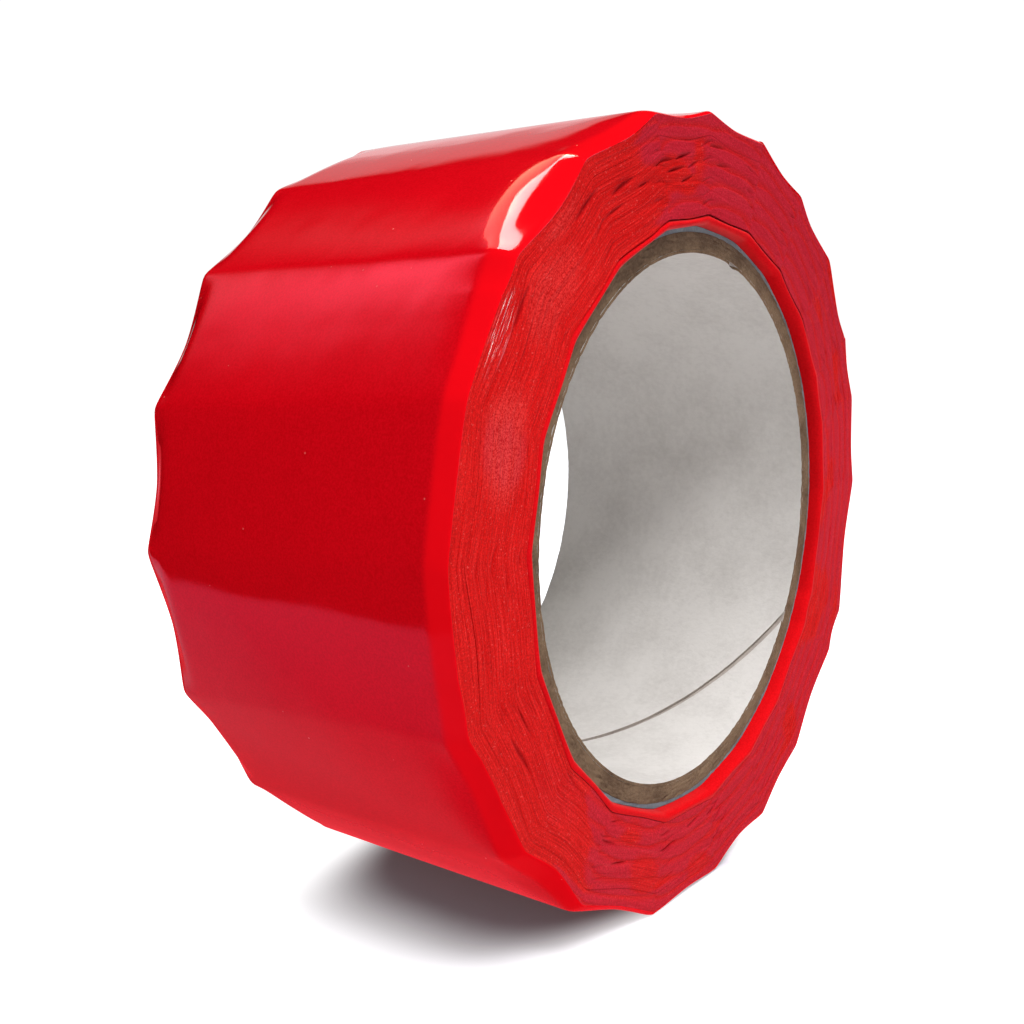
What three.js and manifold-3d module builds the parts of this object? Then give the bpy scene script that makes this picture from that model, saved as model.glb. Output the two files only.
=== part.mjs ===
// Roll of adhesive tape standing on its rim. Millimetres, +Z up.
// The winding axis runs along Y and the near side face is the one at -Y. The roll is built about
// its axis, with y = 0 halfway along the core, then moved to stand on z = 0, centred on the origin.
// Angles are in degrees about the axis, from +X towards +Z.
import * as THREE from "three";
import Module from "manifold-3d";

const wasm = await Module();
wasm.setup();

const RAD = Math.PI / 180;
const lerp = (start, end, t) => start + (end - start) * t;
const polar = (deg, y, r) => [r * Math.cos(deg * RAD), y, r * Math.sin(deg * RAD)];

// ---- overall sizes ----
const BORE_R = 38.1; // 3 inch core
const CORE_W = 48; // length of the cardboard core
const TAPE_W = 50.8; // 2 inch tape
const NEAR_Y = -26.04; // near side face, 2.04 proud of the core
const FAR_Y = NEAR_Y + TAPE_W; // far side face, 0.76 proud of the core
const PLY_GAP = 0.1; // between neighbouring plies and bands

// ---- core ----
const PLY_FACETS = 60;
// name, thickness, colour, roughness, from the bore outwards
const CORE_PLIES = [
  ["core_liner_paper", 0.4, 0xcfcac4, 0.85],
  ["core_kraft_ply_1", 0.5, 0x7d6a5c, 0.95],
  ["core_kraft_ply_2", 0.5, 0x7a6759, 0.95],
  ["core_kraft_ply_3", 0.5, 0x7d6a5c, 0.95],
  ["core_kraft_ply_4", 0.5, 0x776455, 0.95],
  ["core_outer_ply", 0.2, 0x8d9098, 0.9],
];

// The butt joint of the spirally wound liner, a helical slot.
const SEAM_Y = -36.05; // where its helix, carried on past the core, crosses 0 degrees
const SEAM_RISE = -0.3772; // mm along the axis per degree round the bore
const SEAM_W = 0.5; // width of the slot, square to its edges
const SEAM_SLANT = 30; // rounded slant of the slot, turns that width into one along the axis
const SEAM_STEP = 2; // between sections of the cutter, along the axis
const SEAM_OVERRUN = 2; // cutter past each end of the core
const SEAM_MARGIN = 0.8; // cutter past each face of the liner

// ---- wound tape ----
const TAPE_R0 = 42.2; // first wrap under a ridge, clear of the core
const MEAN_R = 57; // mean radius of the ridges
// name, mean outer radius, from the core outwards
const WRAP_BANDS = [
  ["tape_first_wraps", 43.2],
  ["tape_inner_wraps", 47.6],
  ["tape_middle_wraps", 51.4],
  ["tape_outer_wraps", 53.6],
];
const LAST_R = WRAP_BANDS.at(-1)[1] + PLY_GAP; // mean inner radius of the outermost wraps

const LOBE_AT_CORE = 0.45; // share of a valley's depth left at the first wrap
const DEEPEST_AT_CORE = 1.75; // the deepest valley that reaches it
const RIDGE_SHAPE = 1.7; // above 1 makes hollow valleys between sharp ridges
const MIN_DEPTH = 0.05; // of a valley below its ridges
const LOBE_MID = 0.25; // share of a valley's depth left on the outer surface away from the rims
const RIM_BAND = 5.5; // how far in from each side face the valleys have become that shallow
// the rounded rim: how far in from the outer surface, how far in from the side face
const SHOULDER = [
  [2.3, 0],
  [1.2, 0.3],
  [0.4, 0.85],
  [0, 1.8],
  [0, RIM_BAND],
];

// The roll stands on the ridges at -103 and -84 degrees, which reach down to the same height.
const STAND_Z = 55.15; // from the axis down to the ground
const UNDERSIDE_SIN = 0.5; // the surface is held above the ground beyond 30 degrees below level
const standing = (deg) => STAND_Z / Math.abs(Math.sin(deg * RAD));

// Each ridge of the outer wrap and the valley after it, all the way round.
// Each has: angle and radius at the near side face, angle and radius at the far one.
const LOBES = [
  [[-103, standing(-103), -101, standing(-101)], [-93, 54.9, -91, 54.9]],
  [[-84, standing(-84), -82, standing(-82)], [-75, 54.2, -74, 54.2]],
  [[-66.5, 56.2, -66, 56.2], [-59, 54.9, -59, 54.9]],
  [[-51, 55.8, -51, 55.8], [-41, 54.2, -41, 54.2]],
  [[-31, 56.2, -31, 56.2], [-27.5, 55.7, -27.5, 55.7]],
  [[-23.5, 56.8, -23.5, 56.8], [-10.5, 54.2, -10.5, 54.2]],
  [[0.8, 56.1, 0.8, 56.1], [7.5, 55.2, 7.5, 55.2]],
  [[16.5, 56.4, 16.5, 56.4], [22.3, 55.6, 22.3, 55.6]],
  [[27.8, 56.5, 27.8, 56.5], [33.5, 55.7, 33.5, 55.7]],
  [[42.8, 57.5, 42.8, 57.5], [51.8, 55.8, 51.8, 55.8]],
  [[58.3, 56.9, 58.3, 56.9], [66, 55.9, 66, 55.9]],
  [[74.3, 57.2, 74.3, 57.0], [83, 56.1, 83.5, 55.9]],
  [[90.8, 57.2, 92, 56.8], [98, 56.2, 100, 56.0]],
  [[106, 57.5, 108, 56.9], [113.5, 56.4, 115.5, 56.3]],
  [[123.8, 57.9, 126.5, 58.3], [132, 56.7, 135, 57.1]],
  [[142, 58.4, 144, 59.1], [150.5, 56.9, 153.5, 57.4]],
  [[160, 58.5, 163, 59.3], [169, 56.9, 172.5, 57.4]],
  [[178, 58.4, 181.5, 58.8], [188, 56.7, 192, 56.6]],
  [[198, 58.1, 202, 58.0], [208, 56.2, 212, 55.8]],
  [[218.5, 57.4, 221.5, 57.0], [227, 55.6, 230.5, 55.5]],
  [[236, 57.0, 240, 56.8], [247, 55.3, 249.5, 55.1]],
];
// Where columns stand between two ridges: -1 on the first, 0 in the valley, 1 on the next.
const COLUMN_PLACES = [-1, -0.6, 0, 0.6];

// ---- free end of the tape ----
// It starts at a ridge, lies on the wrap below, and bends along ridges.
const END_NAMES = ["tape_end_root_strip", "tape_end_middle_strip", "tape_end_tip_strip"];
const END_ROOT_RIDGE = 8; // index in LOBES of the ridge where it starts
const END_BREAKS = LOBES.slice(END_ROOT_RIDGE, END_ROOT_RIDGE + END_NAMES.length + 1).map(
  ([ridge]) => ridge[0],
);
const END_T = 0.3; // thickness of the free end
const END_CLEAR = 0.1; // between the free end and the wrap it lies on
const END_STEP = END_T + END_CLEAR;
const END_FADE_DEG = 30; // past the tip, the wrap below climbs back to full radius
const END_WALL_DEG = 0.35; // run of the steep step down at the root
const END_ROOT_DEG = 0.5; // from the root ridge to the start of the first strip
const END_GAP_DEG = 0.15; // half the slit between two strips
const END_COLUMN_DEG = 0.3; // least spacing of a strip's columns from its ends

// ---- finishes ----
const TAPE_RED = 0xd2041c;
const TAPE_EDGE = { color: TAPE_RED, roughness: 0.35 };
const TAPE_GLOSSY = { color: TAPE_RED, roughness: 0.12 };

// ---- meshing ----
// Sweeps a section through the columns. The section is a loop of functions column -> [x, y, z].
// A closed sweep is a ring. An open one gets flat ends, and its section must be an inner row
// followed by the matching outer row backwards.
function sweep(columns, section, closed) {
  const positions = columns.flatMap((column) => section.flatMap((point) => point(column)));
  const index = [];
  const size = section.length;
  const spans = closed ? columns.length : columns.length - 1;
  for (let j = 0; j < spans; j++) {
    const base = j * size;
    const nextBase = ((j + 1) % columns.length) * size;
    for (let k = 0; k < size; k++) {
      const k2 = (k + 1) % size;
      const here = base + k;
      const hereNext = base + k2;
      const there = nextBase + k;
      const thereNext = nextBase + k2;
      // side-to-side quads all split along the same diagonal, so nested rings stay parallel
      if (positions[3 * hereNext + 1] > positions[3 * here + 1])
        index.push(here, hereNext, thereNext, here, thereNext, there);
      else index.push(here, hereNext, there, hereNext, thereNext, there);
    }
  }
  if (!closed) {
    const lastBase = spans * size;
    for (let k = 0; k + 1 < size / 2; k++) {
      const quad = [k, k + 1, size - 2 - k, size - 1 - k];
      const [a, b, c, d] = quad;
      index.push(a, c, b, a, d, c);
      const [lastA, lastB, lastC, lastD] = quad.map((corner) => lastBase + corner);
      index.push(lastA, lastB, lastC, lastA, lastC, lastD);
    }
  }
  return outwardGeometry(positions, index);
}

// Builds the geometry, turning every triangle over if the solid comes out inside out.
function outwardGeometry(positions, index) {
  if (signedVolume(positions, index) < 0) {
    for (let i = 0; i < index.length; i += 3)
      [index[i + 1], index[i + 2]] = [index[i + 2], index[i + 1]];
  }
  const geometry = new THREE.BufferGeometry();
  geometry.setAttribute("position", new THREE.Float32BufferAttribute(positions, 3));
  geometry.setIndex(index);
  geometry.computeVertexNormals();
  return geometry;
}

function signedVolume(positions, index) {
  const corner = (i) => new THREE.Vector3().fromArray(positions, 3 * index[i]);
  let sum = 0;
  for (let i = 0; i < index.length; i += 3)
    sum += corner(i).dot(corner(i + 1).cross(corner(i + 2))) / 6;
  return sum;
}

// Four-cornered section; pointAt(r, y) gives a section function.
const fourCorners = (pointAt, inner, outer, start, end) => [
  pointAt(inner, start),
  pointAt(inner, end),
  pointAt(outer, end),
  pointAt(outer, start),
];

function toManifold(geometry) {
  return new wasm.Manifold(
    new wasm.Mesh({
      numProp: 3,
      vertProperties: geometry.attributes.position.array,
      triVerts: new Uint32Array(geometry.index.array),
    }),
  );
}

function fromManifold(solid) {
  const mesh = solid.getMesh();
  const geometry = new THREE.BufferGeometry();
  const positions = new Float32Array(mesh.vertProperties);
  geometry.setAttribute("position", new THREE.BufferAttribute(positions, 3));
  geometry.setIndex(new THREE.BufferAttribute(new Uint32Array(mesh.triVerts), 1));
  geometry.computeVertexNormals();
  return geometry;
}

const root = new THREE.Group();
root.name = "tape_roll";
function add(name, geometry, finish) {
  const mesh = new THREE.Mesh(geometry, new THREE.MeshStandardMaterial(finish));
  mesh.name = name;
  root.add(mesh);
}

// ---- building the core ----
function plyGeometry(inner, outer) {
  const angles = Array.from({ length: PLY_FACETS }, (_, i) => (i / PLY_FACETS) * 360);
  const pointAt = (r, y) => (deg) => polar(deg, y, r);
  return sweep(angles, fourCorners(pointAt, inner, outer, -CORE_W / 2, CORE_W / 2), true);
}

function seamCutter(inner, outer) {
  const stations = [];
  const endY = CORE_W / 2 + SEAM_OVERRUN;
  for (let y = -endY; y <= endY; y += SEAM_STEP)
    stations.push({ y, deg: (y - SEAM_Y) / SEAM_RISE });
  const half = SEAM_W / 2 / Math.cos(SEAM_SLANT * RAD);
  const pointAt = (r, offset) => (station) => polar(station.deg, station.y + offset, r);
  const section = fourCorners(
    pointAt,
    inner - SEAM_MARGIN,
    outer + SEAM_MARGIN,
    -half,
    half,
  );
  return sweep(stations, section, false);
}

function linerGeometry(inner, outer) {
  const ply = toManifold(plyGeometry(inner, outer));
  return fromManifold(ply.subtract(toManifold(seamCutter(inner, outer))));
}

function addCore() {
  let inner = BORE_R;
  for (const [name, thickness, color, roughness] of CORE_PLIES) {
    const build = name === "core_liner_paper" ? linerGeometry : plyGeometry;
    add(name, build(inner, inner + thickness), { color, roughness });
    inner += thickness + PLY_GAP;
  }
}

// ---- columns of the wound tape ----
// A column holds [near, far] pairs: its angle, the radius of the crest line between the
// neighbouring ridges, and the depth of the surface below that line.
function makeColumn([ridge, valley], nextRidge, turnDeg, place) {
  const hollow = 1 - Math.pow(Math.abs(place), RIDGE_SHAPE); // 1 in the valley, 0 on a ridge
  const angle = (k) =>
    place < 0
      ? lerp(ridge[k], valley[k], 1 + place)
      : lerp(valley[k], nextRidge[k] + turnDeg, place);
  const crest = (k) => lerp(ridge[k], nextRidge[k], 0.5 + place / 2);
  const depth = (k) =>
    Math.max((ridge[k] + nextRidge[k]) / 2 - valley[k], MIN_DEPTH) * hollow;
  return {
    deg: [angle(0), angle(2)],
    crest: [crest(1), crest(3)],
    depth: [depth(1), depth(3)],
  };
}

function makeColumns() {
  const columns = LOBES.flatMap((lobe, i) => {
    const [nextRidge] = LOBES[(i + 1) % LOBES.length];
    const turnDeg = i === LOBES.length - 1 ? 360 : 0;
    return COLUMN_PLACES.map((place) => makeColumn(lobe, nextRidge, turnDeg, place));
  });
  // a second column just past the root of the free end, so the step there is a wall
  const rootIndex = END_ROOT_RIDGE * COLUMN_PLACES.length;
  const rootColumn = columns[rootIndex];
  columns.splice(rootIndex + 1, 0, {
    ...rootColumn,
    deg: rootColumn.deg.map((deg) => deg + END_WALL_DEG),
  });
  return columns;
}

const COLUMNS = makeColumns();

// The column at any angle on the free end, the same angle at both side faces.
function columnAt(deg) {
  const i = COLUMNS.findIndex((column) => column.deg[0] > deg);
  const before = COLUMNS[i - 1];
  const after = COLUMNS[i];
  const t = (deg - before.deg[0]) / (after.deg[0] - before.deg[0]);
  const between = (key) => before[key].map((value, k) => lerp(value, after[key][k], t));
  return { deg: [deg, deg], crest: between("crest"), depth: between("depth") };
}

// ---- surfaces of the wound tape ----
const valueAt = ([near, far], y) => lerp(near, far, (y - NEAR_Y) / TAPE_W);
const place = (column, y, r) => polar(valueAt(column.deg, y), y, r);

// The crests shrink evenly towards the core, and so does the depth of the valleys.
function bandRadius(column, y, meanR) {
  const outward = (meanR - TAPE_R0) / (MEAN_R - TAPE_R0); // 0 at the first wrap, 1 at MEAN_R
  const fullDepth = valueAt(column.depth, y);
  const depth = lerp(Math.min(fullDepth, DEEPEST_AT_CORE), fullDepth, outward);
  const crest = lerp(TAPE_R0, valueAt(column.crest, y), outward);
  return crest - lerp(LOBE_AT_CORE, 1, outward) * depth;
}
const bandAt = (meanR, y) => (column) => place(column, y, bandRadius(column, y, meanR));

// Full valleys at the rims, shallow ones between, and never below the ridges it stands on.
function outerRadius(column, y) {
  const atRim = y < NEAR_Y + RIM_BAND - 1e-6 || y > FAR_Y - RIM_BAND + 1e-6;
  const share = atRim ? 1 : LOBE_MID;
  const r = valueAt(column.crest, y) - share * valueAt(column.depth, y);
  const down = -Math.sin(valueAt(column.deg, y) * RAD);
  return down > UNDERSIDE_SIN ? Math.min(r, STAND_Z / down) : r;
}
const outerAt = (inset, y) => (column) => place(column, y, outerRadius(column, y) - inset);

// The wrap under the free end drops by one step at its root and climbs back past its tip.
function dip(deg) {
  const tip = END_BREAKS.at(-1);
  if (deg <= END_BREAKS[0] + 1e-6) return 0;
  if (deg <= tip) return END_STEP;
  return END_STEP * Math.max(0, 1 - (deg - tip) / END_FADE_DEG);
}
const dippedAt = (inset, y) => (column) => outerAt(inset + dip(column.deg[0]), y)(column);

// ---- building the tape ----
function addWrapBands() {
  let inner = TAPE_R0;
  for (const [name, outer] of WRAP_BANDS) {
    const section = fourCorners(bandAt, inner, outer, NEAR_Y, FAR_Y);
    add(name, sweep(COLUMNS, section, true), TAPE_EDGE);
    inner = outer + PLY_GAP;
  }
}

// The outermost wraps, which turn the rim over.
function addLastWraps() {
  const section = [
    bandAt(LAST_R, NEAR_Y),
    bandAt(LAST_R, FAR_Y),
    ...SHOULDER.map(([inset, dy]) => dippedAt(inset, FAR_Y - dy)),
    ...SHOULDER.toReversed().map(([inset, dy]) => dippedAt(inset, NEAR_Y + dy)),
  ];
  add("tape_last_wraps", sweep(COLUMNS, section, true), TAPE_GLOSSY);
}

function addFreeEnd() {
  const rim = SHOULDER.slice(1); // the strips stop short of the side faces
  const row = [
    ...rim.map(([inset, dy]) => [inset, NEAR_Y + dy]),
    ...rim.toReversed().map(([inset, dy]) => [inset, FAR_Y - dy]),
  ];
  const section = [
    ...row.map(([inset, y]) => outerAt(inset + END_T, y)),
    ...row.toReversed().map(([inset, y]) => outerAt(inset, y)),
  ];
  END_NAMES.forEach((name, i) => {
    const isTip = i === END_NAMES.length - 1;
    const start = END_BREAKS[i] + (i === 0 ? END_ROOT_DEG : END_GAP_DEG);
    const end = END_BREAKS[i + 1] - (isTip ? 0 : END_GAP_DEG);
    const inside = COLUMNS.filter(
      ({ deg: [near] }) => near > start + END_COLUMN_DEG && near < end - END_COLUMN_DEG,
    );
    const columns = [columnAt(start), ...inside, columnAt(end)];
    add(name, sweep(columns, section, false), TAPE_GLOSSY);
  });
}

addCore();
addWrapBands();
addLastWraps();
addFreeEnd();

// ---- stand it on z = 0, centred ----
const box = new THREE.Box3().setFromObject(root, true);
root.position.set(
  -(box.min.x + box.max.x) / 2,
  -(box.min.y + box.max.y) / 2,
  -box.min.z,
);

export default root;
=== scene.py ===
"""A roll of glossy red tape on a board core, standing on a pale floor.

The axis of the roll runs along Y. The near side face looks to -Y and the far one to +Y.
Angles are in degrees round the axis, from +X towards +Z: 90 is the top, 180 is -X and
-90 is the floor. Shapes are worked out in mm from the centre of the core, and placed in
metres. The floor, lights, camera and shader coordinates are in metres.
"""

import math
from dataclasses import dataclass

import bpy
import numpy as np
from mathutils import Matrix, Vector

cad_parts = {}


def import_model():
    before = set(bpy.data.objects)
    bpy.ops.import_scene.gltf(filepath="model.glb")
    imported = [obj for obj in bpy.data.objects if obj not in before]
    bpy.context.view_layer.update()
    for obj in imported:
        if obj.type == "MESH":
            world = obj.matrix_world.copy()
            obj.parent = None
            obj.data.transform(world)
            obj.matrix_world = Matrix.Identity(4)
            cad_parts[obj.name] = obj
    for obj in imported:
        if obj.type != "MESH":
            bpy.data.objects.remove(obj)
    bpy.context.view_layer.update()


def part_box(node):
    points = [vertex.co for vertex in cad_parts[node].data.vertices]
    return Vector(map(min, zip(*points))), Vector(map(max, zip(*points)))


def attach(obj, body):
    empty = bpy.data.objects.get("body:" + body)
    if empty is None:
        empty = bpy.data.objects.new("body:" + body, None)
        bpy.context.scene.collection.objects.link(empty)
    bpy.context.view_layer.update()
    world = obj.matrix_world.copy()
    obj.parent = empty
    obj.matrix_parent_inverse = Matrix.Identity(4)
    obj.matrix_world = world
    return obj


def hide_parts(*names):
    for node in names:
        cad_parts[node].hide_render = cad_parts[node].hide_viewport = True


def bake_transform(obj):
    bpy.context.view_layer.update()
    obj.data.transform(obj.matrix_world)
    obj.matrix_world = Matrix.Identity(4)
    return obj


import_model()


CORE_LOW, CORE_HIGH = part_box("core_kraft_ply_1")
CORE_CENTRE = np.array([(CORE_LOW[i] + CORE_HIGH[i]) / 2 for i in range(3)]) * 1000.0

# ---------------------------------------------------------------- dimensions, mm and degrees
BORE_R = 38.1
CORE_W = 48.0
LINER_THICK = 0.42
BOARD_START = 0.45  # first board ply, out from the bore
BOARD_PITCH = 0.6
BOARD_THICK = 0.595
WRAPPER_START = 2.87  # grey paper, out from the bore
WRAPPER_GAP = 0.07

# the joint of the slanting liner sheet
SEAM_Y = -36.05  # at 0 degrees
SEAM_RISE = -0.3772  # mm of y per degree
SEAM_W = 0.9
SEAM_SLANT = 60

TAPE_W = 50.8
NEAR_Y = -26.04
FAR_Y = NEAR_Y + TAPE_W
SIDE_Y = (NEAR_Y, FAR_Y)
INWARD = (1, -1)  # sign of y from each side face into the roll
WALL_YS = np.linspace(NEAR_Y + 3, FAR_Y - 3, 4)
STAND_Z = 55.15  # the floor, below the axis

TAPE_R0 = 42.2
MEAN_R = 57.0
FIRST_OUT_R = 43.19
LAST_IN_R = 53.7
LAST_THICK = 3.3  # in mean radius
TURN_STEP = 0.1  # between mesh rows on the side faces

LOBE_AT_CORE = 0.45  # share of the lobes left at the first turn
DEEPEST_AT_CORE = 1.75
RIDGE_SHAPE = 1.7
RIDGE_ROUNDING = 0.07
COLUMNS_PER_SLOPE = 20
HUG_SHARE = 0.45  # how far the first turn is drawn in towards HUG_R
HUG_R = 41.42

END_ROOT = 27.8
END_TIP = 74.3
END_THICK = 0.2
END_STEP = 0.26
END_FADE = 30.0

UV_ARC = math.pi / 180 * 50  # mm of texture per degree, on a radius of 50


def standing(angle):
    """Radius of a ridge that just reaches the floor."""
    return STAND_Z / abs(math.sin(math.radians(angle)))


# Ridges and valleys of the outermost turn by turns, from a ridge:
# near angle, near radius, far angle, far radius
LOBES = [
    (-103, standing(-103), -101, standing(-101)), (-93, 54.9, -91, 54.9),
    (-84, standing(-84), -82, standing(-82)), (-75, 54.2, -74, 54.2),
    (-66.5, 56.2, -66, 56.2), (-59, 54.9, -59, 54.9), (-51, 55.8, -51, 55.8),
    (-41, 54.2, -41, 54.2), (-31, 56.2, -31, 56.2), (-27.5, 55.7, -27.5, 55.7),
    (-23.5, 56.8, -23.5, 56.8), (-10.5, 54.2, -10.5, 54.2), (0.8, 56.1, 0.8, 56.1),
    (7.5, 55.2, 7.5, 55.2), (16.5, 56.4, 16.5, 56.4), (22.3, 55.6, 22.3, 55.6),
    (27.8, 56.5, 27.8, 56.5), (33.5, 55.7, 33.5, 55.7), (42.8, 57.5, 42.8, 57.5),
    (51.8, 55.8, 51.8, 55.8), (58.3, 56.9, 58.3, 56.9), (66, 55.9, 66, 55.9),
    (74.3, 57.2, 74.3, 57.0), (83, 56.1, 83.5, 55.9), (90.8, 57.2, 92, 56.8),
    (98, 56.2, 100, 56.0), (106, 57.5, 108, 56.9), (113.5, 56.4, 115.5, 56.3),
    (123.8, 57.9, 126.5, 58.3), (132, 56.7, 135, 57.1), (142, 58.4, 144, 59.1),
    (150.5, 56.9, 153.5, 57.4), (160, 58.5, 163, 59.3), (169, 56.9, 172.5, 57.4),
    (178, 58.4, 181.5, 58.8), (188, 56.7, 192, 56.6), (198, 58.1, 202, 58.0),
    (208, 56.2, 212, 55.8), (218.5, 57.4, 221.5, 57.0), (227, 55.6, 230.5, 55.5),
    (236, 57.0, 240, 56.8), (247, 55.3, 249.5, 55.1),
]
RIDGES = LOBES[0::2]


# ---------------------------------------------------------------- seeded smooth noise
def hash_cells(cell_x, cell_y, seed):
    """A repeatable value from 0 to 1 for each whole-numbered cell."""
    mixed = (cell_x * 374761393 + cell_y * 668265263 + seed * 1442695041) & 0xFFFFFFFF
    mixed = ((mixed ^ (mixed >> 13)) * 1274126177) & 0xFFFFFFFF
    mixed = (mixed ^ (mixed >> 16)) & 0xFFFFFF
    return mixed / float(0xFFFFFF)


def noise2(x, y, seed):
    """Smooth value noise, -1 to 1."""
    x, y = np.broadcast_arrays(np.asarray(x, float), np.asarray(y, float))
    cell_x, cell_y = np.floor(x), np.floor(y)
    tx, ty = x - cell_x, y - cell_y
    tx = tx * tx * (3 - 2 * tx)
    ty = ty * ty * (3 - 2 * ty)
    cell_x, cell_y = cell_x.astype(np.int64), cell_y.astype(np.int64)
    v00 = hash_cells(cell_x, cell_y, seed)
    v10 = hash_cells(cell_x + 1, cell_y, seed)
    v01 = hash_cells(cell_x, cell_y + 1, seed)
    v11 = hash_cells(cell_x + 1, cell_y + 1, seed)
    value = v00 + (v10 - v00) * tx + (v01 - v00) * ty + (v00 - v10 - v01 + v11) * tx * ty
    return value * 2 - 1


def ring_noise(angle, y, per_turn, seed):
    """Noise that closes on itself round the roll: per_turn cells in a full turn."""
    turn = np.radians(angle)
    reach = per_turn / (2 * math.pi)
    # two slices, shifted and skewed apart so that they don't line up
    cos, sin = reach * np.cos(turn), reach * np.sin(turn)
    first = noise2(cos + 50, y + sin * 0.73, seed)
    second = noise2(sin + 90, y * 1.01 + cos * 0.61, seed + 7)
    return 0.5 * (first + second)


def smoothstep(start, end, x):
    t = np.clip((x - start) / (end - start), 0, 1)
    return t * t * (3 - 2 * t)


def bell(offset):
    return np.exp(-(offset**2))


def angle_from(angle, centre):
    """Signed turn from centre to angle, -180 to 180."""
    return (angle - centre + 180) % 360 - 180


# ---------------------------------------------------------------- shape of the lobed turns
@dataclass
class Columns:
    """Mesh columns round the roll; crest and depth hold near and far values."""

    near: np.ndarray  # angle at the near side face
    far: np.ndarray
    crest: tuple = None  # radius of the line from ridge to ridge
    depth: tuple = None  # depth below that line
    sector: np.ndarray = None  # number of the gap between two ridges
    across: np.ndarray = None  # 0 to 1 from ridge to ridge


def make_columns():
    first = LOBES[0]
    lobes = LOBES + [(first[0] + 360, first[1], first[2] + 360, first[3])]
    rounding_span = math.sqrt(1 + RIDGE_ROUNDING**2) - RIDGE_ROUNDING
    rows = []
    for sector in range(len(RIDGES)):
        before, valley, after = lobes[2 * sector : 2 * sector + 3]
        for rising, (start, stop) in enumerate(((before, valley), (valley, after))):
            for step in range(COLUMNS_PER_SLOPE):
                t = step / COLUMNS_PER_SLOPE
                x = 1 - t if rising else t
                x = (math.sqrt(x * x + RIDGE_ROUNDING**2) - RIDGE_ROUNDING) / rounding_span
                deep = 1 - (1 - x) ** RIDGE_SHAPE
                across = rising / 2 + t / 2
                angles = [start[i] + (stop[i] - start[i]) * t for i in (0, 2)]
                crests = [before[i] + (after[i] - before[i]) * across for i in (1, 3)]
                depths = [
                    max((before[i] + after[i]) / 2 - valley[i], 0.05) * deep for i in (1, 3)
                ]
                rows.append([*angles, *crests, *depths, sector, across])
    rows = np.array(rows)
    # a second column just past the root of the free end
    root = int(np.argmin(np.abs(rows[:, 0] - END_ROOT)))
    extra = rows[root].copy()
    extra[:2] += 0.03
    near, far, crest0, crest1, depth0, depth1, sector, across = np.insert(
        rows, root + 1, extra, axis=0
    ).T
    return Columns(near, far, (crest0, crest1), (depth0, depth1), sector, across)


def mix(pair, y):
    """Value at y between those at the near and far side faces."""
    return pair[0] + (pair[1] - pair[0]) * ((y - NEAR_Y) / TAPE_W)


def theta_at(cols, y):
    return mix((cols.near, cols.far), y)


def band_radius(cols, y, mean_r):
    """Radius of the turn with this mean radius; the lobes grow from the core outwards."""
    outward = (mean_r - TAPE_R0) / (MEAN_R - TAPE_R0)
    depth = mix(cols.depth, y)
    return (
        TAPE_R0
        + outward * (mix(cols.crest, y) - TAPE_R0)
        - (LOBE_AT_CORE + (1 - LOBE_AT_CORE) * outward)
        * (outward * depth + (1 - outward) * np.minimum(depth, DEEPEST_AT_CORE))
    )


def hug(wall, amount=1.0):
    """How far a wall at the core is drawn in."""
    return amount * HUG_SHARE * (wall - HUG_R)


def rim_share(cols, y):
    """How much of a valley is left at y: all of it at the rims, little of it between them."""
    reach, middle = 3.4, 0.2
    wide = reach * (1 + 0.25 * ring_noise(cols.near, 0.0, per_turn=24, seed=5))
    near = bell(np.maximum(y - NEAR_Y - 1.0, 0) / wide)
    far = bell(np.maximum(FAR_Y - y - 0.6, 0) / (0.5 * wide))
    share = middle + (1 - middle) * np.maximum(near, far)
    # on the near rim the turns bridge the hollows where they have slid furthest
    bridged = np.interp(cols.near, [141, 147, 191, 200], [0.0, 0.85, 0.85, 0.0])
    bridged = bridged * (1 - smoothstep(9.0, 24.0, y - NEAR_Y))
    return share + (middle - share) * bridged


def outer_radius(cols, y):
    """Outside of the roll, held above the floor."""
    radius = mix(cols.crest, y) - rim_share(cols, y) * mix(cols.depth, y)
    drop = -np.sin(np.radians(theta_at(cols, y)))
    return np.where(drop > 0.5, np.minimum(radius, STAND_Z / np.maximum(drop, 0.5)), radius)


# Size of the turned-down near rim: angles, then mm
RIM_RADIAL = (
    [-110, 96, 106, 118, 135, 150, 190, 202, 209, 219, 236, 248, 260],
    [0.45, 0.45, 0.70, 1.00, 1.30, 0.80, 0.80, 1.25, 0.90, 1.90, 1.3, 0.6, 0.55],
)
RIM_AXIAL = (
    [-110, 97, 107, 120, 140, 154, 205, 222, 250, 260],
    [0.8, 0.7, 3.2, 3.8, 4.4, 3.1, 3.1, 3.5, 1.0, 0.8],
)


def rim_size(cols, side):
    """Radial and axial size of the turned-down rim: even on the far side."""
    if side == 1:
        return np.full_like(cols.near, 0.5), np.full_like(cols.near, 1.2)
    return np.interp(cols.near, *RIM_RADIAL), np.interp(cols.near, *RIM_AXIAL)


def shoulder(cols, distance, side):
    """How far the rim has turned down, at a distance from the side face."""
    radial, axial = rim_size(cols, side)
    slope = np.clip((axial - distance) / axial, 0, 1)
    tip = np.clip((0.35 - distance) / 0.35, 0, 1)
    power = np.interp(cols.near, [142, 152, 208, 226], [2.0, 1.25, 1.25, 2.0])
    rounded = 1 - np.sqrt(np.maximum(1 - tip * tip, 0))
    return radial * (0.90 * slope**power + 0.10 * rounded)


def dip(angle):
    """Step down under the free end, fading out past its tip."""
    under = np.where(angle <= END_ROOT + 1e-3, 0.0, END_STEP)
    fade = END_STEP * np.clip(1 - (angle - END_TIP) / END_FADE, 0, 1)
    return np.where(angle > END_TIP, fade, under)


COLS = make_columns()


# ---------------------------------------------------------------- meshes
def polar_points(radius, y, angle):
    turn = np.radians(angle)
    return np.stack([radius * np.cos(turn), y, radius * np.sin(turn)], -1).reshape(-1, 3)


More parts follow.
